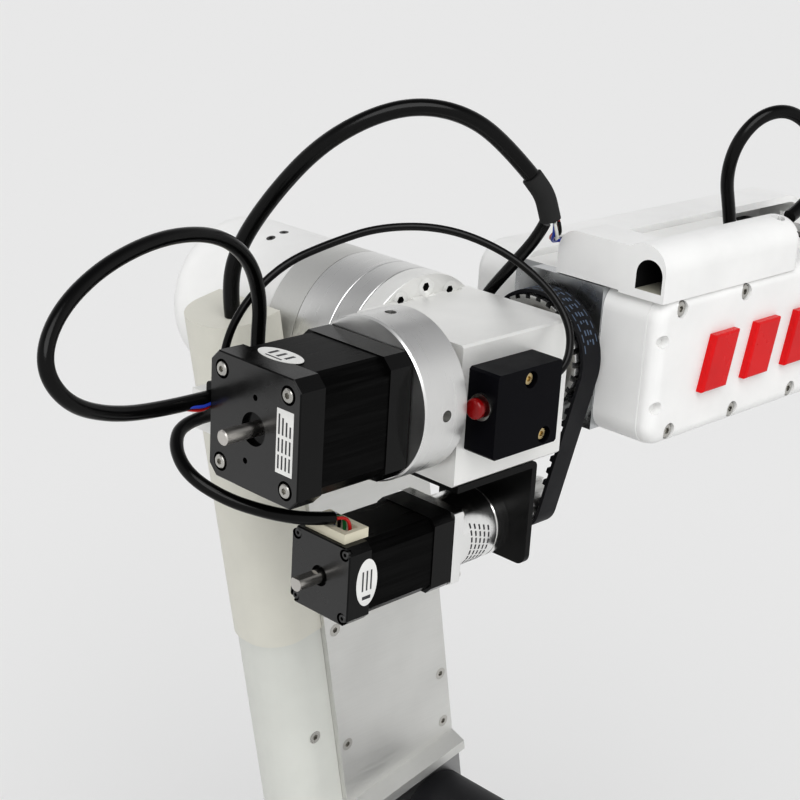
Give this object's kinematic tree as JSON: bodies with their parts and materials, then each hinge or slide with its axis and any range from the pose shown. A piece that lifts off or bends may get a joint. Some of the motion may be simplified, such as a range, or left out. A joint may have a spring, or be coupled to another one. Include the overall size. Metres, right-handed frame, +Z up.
{
  "type": "robot arm",
  "caption": "Desktop articulated robot arm with turning base, leaning upper arm, belt-driven forearm roll, wrist and tool flange, with exposed motors and looped cables",
  "frame": {"origin": "on the base turning axis, at the underside of the base plate", "axes": "+Z up, +X forward along the level forearm, +Y towards the side that carries the upper arm"},
  "size_m": [0.4255, 0.266, 0.564],
  "materials": {
    "motor_black": "gloss black enamel",
    "satin_aluminium": "satin, lightly turned",
    "bright_steel": "bright machined",
    "screw_steel": "zinc plated",
    "switch_black": "matt, faint milling lines",
    "button_red": "gloss",
    "printed_white": "matt printed shell",
    "belt_rubber": "matt",
    "mark_red": "gloss",
    "connector_cream": "matt",
    "cable_black": "smooth black jacket",
    "base_grey": "fine satin paint"
  },
  "bodies": {
    "base": {"base_plate": "satin_aluminium", "base_housing": "base_grey", "base_connectors": "switch_black", "j1_bearings": "bright_steel", "j1_gearmotor": "motor_black", "j1_belt": "belt_rubber", "base_screws": "screw_steel"},
    "j1_drive": {"j1_motor_pulley": "satin_aluminium"},
    "turret": {"turret_plate": "satin_aluminium", "turret_bracket": "satin_aluminium", "j2_gearmotor": "motor_black", "turret_screws": "screw_steel"},
    "arm": {"upper_arm": "satin_aluminium", "j2_hub": "bright_steel", "arm_cover_upper": "printed_white", "arm_cover_lower": "printed_white", "j3_bearing_ring": "satin_aluminium", "j3_gearbox_ring": "satin_aluminium", "j3_gearmotor": "motor_black", "j3_motor_cap": "printed_white", "arm_buffer": "cable_black", "arm_screws": "screw_steel"},
    "elbow": {"elbow_housing": "satin_aluminium", "j3_output_hub": "bright_steel", "j4_bearings": "bright_steel", "j4_motor_bracket": "motor_black", "j4_motor": "motor_black", "j4_gearbox": "bright_steel", "j4_motor_connector": "connector_cream", "limit_switch_box": "switch_black", "elbow_screws": "screw_steel", "j4_belt": "belt_rubber", "cable_junction": "cable_black", "cable_bracket": "satin_aluminium", "arm_cable": "cable_black", "branch_cable": "cable_black", "j4_motor_cable": "cable_black", "switch_cable": "cable_black"},
    "plunger": {"limit_switch_plunger": "button_red"},
    "j4_drive": {"j4_motor_pulley": "satin_aluminium"},
    "j4_motor_rotor": {"j4_rotor": "bright_steel"},
    "forearm": {"j4_shaft": "bright_steel", "j4_collar": "satin_aluminium", "j4_driven_pulley": "satin_aluminium", "j5_motor": "motor_black", "forearm_frame": "satin_aluminium", "forearm_cover_left": "printed_white", "forearm_lid_left": "printed_white", "forearm_cover_right": "printed_white", "forearm_bars": "mark_red", "forearm_screws": "screw_steel", "j5_belt": "belt_rubber", "junction_wires": "cable_black", "motor_loop": "cable_black", "forearm_loop": "cable_black"},
    "j5_screw": {"j5_lead_screw": "bright_steel"},
    "j5_nut": {"j5_carriage": "satin_aluminium"},
    "wrist": {"wrist_housing": "satin_aluminium", "j6_gearmotor": "motor_black"},
    "tool": {"tool_flange": "satin_aluminium"}
  },
  "joints": [
    {"name": "j1_turn", "type": "hinge", "parent": "base", "child": "turret", "pos_m": [0, 0, 0.114], "axis": [0, 0, 1], "range_deg": [-170, 170]},
    {"name": "j1_motor_turn", "type": "hinge", "parent": "base", "child": "j1_drive", "pos_m": [-0.058, 0, 0.06], "axis": [0, 0, 1], "range_deg": [-600, 600]},
    {"name": "j2_shoulder", "type": "hinge", "parent": "turret", "child": "arm", "pos_m": [0.0642, 0.05, 0.1698], "axis": [0, 1, 0], "range_deg": [-28.1, 101.5]},
    {"name": "j3_elbow", "type": "hinge", "parent": "arm", "child": "elbow", "pos_m": [0.00339, 0.0367, 0.46868], "axis": [0, 1, 0], "range_deg": [-100.5, 42.2], "deforming": ["arm_cable"]},
    {"name": "j4_roll", "type": "hinge", "parent": "elbow", "child": "forearm", "pos_m": [-0.00261, 0, 0.47368], "axis": [1, 0, 0], "range_deg": [-164.5, 164.5], "deforming": ["junction_wires", "motor_loop"]},
    {"name": "j4_pulley_turn", "type": "hinge", "parent": "elbow", "child": "j4_drive", "pos_m": [0.03639, 0, 0.41478], "axis": [1, 0, 0], "range_deg": [-444.3, 444.3]},
    {"name": "j4_rotor_turn", "type": "hinge", "parent": "elbow", "child": "j4_motor_rotor", "pos_m": [-0.04561, 0, 0.41478], "axis": [1, 0, 0], "range_deg": [-6219, 6219]},
    {"name": "switch_press", "type": "slide", "parent": "elbow", "child": "plunger", "axis": [1, 0, 0], "range_m": [0, 0.0013], "stiffness_N_per_m": 300, "springref_m": -0.001},
    {"name": "j5_pitch", "type": "hinge", "parent": "forearm", "child": "wrist", "pos_m": [0.22599, 0, 0.47368], "axis": [0, 1, 0], "range_deg": [-104.15, 104.15]},
    {"name": "j5_screw_turn", "type": "hinge", "parent": "forearm", "child": "j5_screw", "pos_m": [-0.00061, 0, 0.47368], "axis": [1, 0, 0], "range_deg": [-1232, 1232]},
    {"name": "j5_nut_slide", "type": "slide", "parent": "forearm", "child": "j5_nut", "axis": [1, 0, 0], "range_m": [-0.0275, 0.0275]},
    {"name": "j6_turn", "type": "hinge", "parent": "wrist", "child": "tool", "pos_m": [0.25599, 0, 0.47368], "axis": [1, 0, 0], "range_deg": [-148.1, 148.1]}
  ],
  "couplings": [
    {"joint": "j1_motor_turn", "follows": "j1_turn", "ratio": 3.4737},
    {"joint": "j4_pulley_turn", "follows": "j4_roll", "ratio": 2.7},
    {"joint": "j4_rotor_turn", "follows": "j4_roll", "ratio": 37.8},
    {"joint": "j5_nut_slide", "follows": "j5_pitch", "m_per_rad": 0.015},
    {"joint": "j5_screw_turn", "follows": "j5_pitch", "ratio": 11.781}
  ]
}
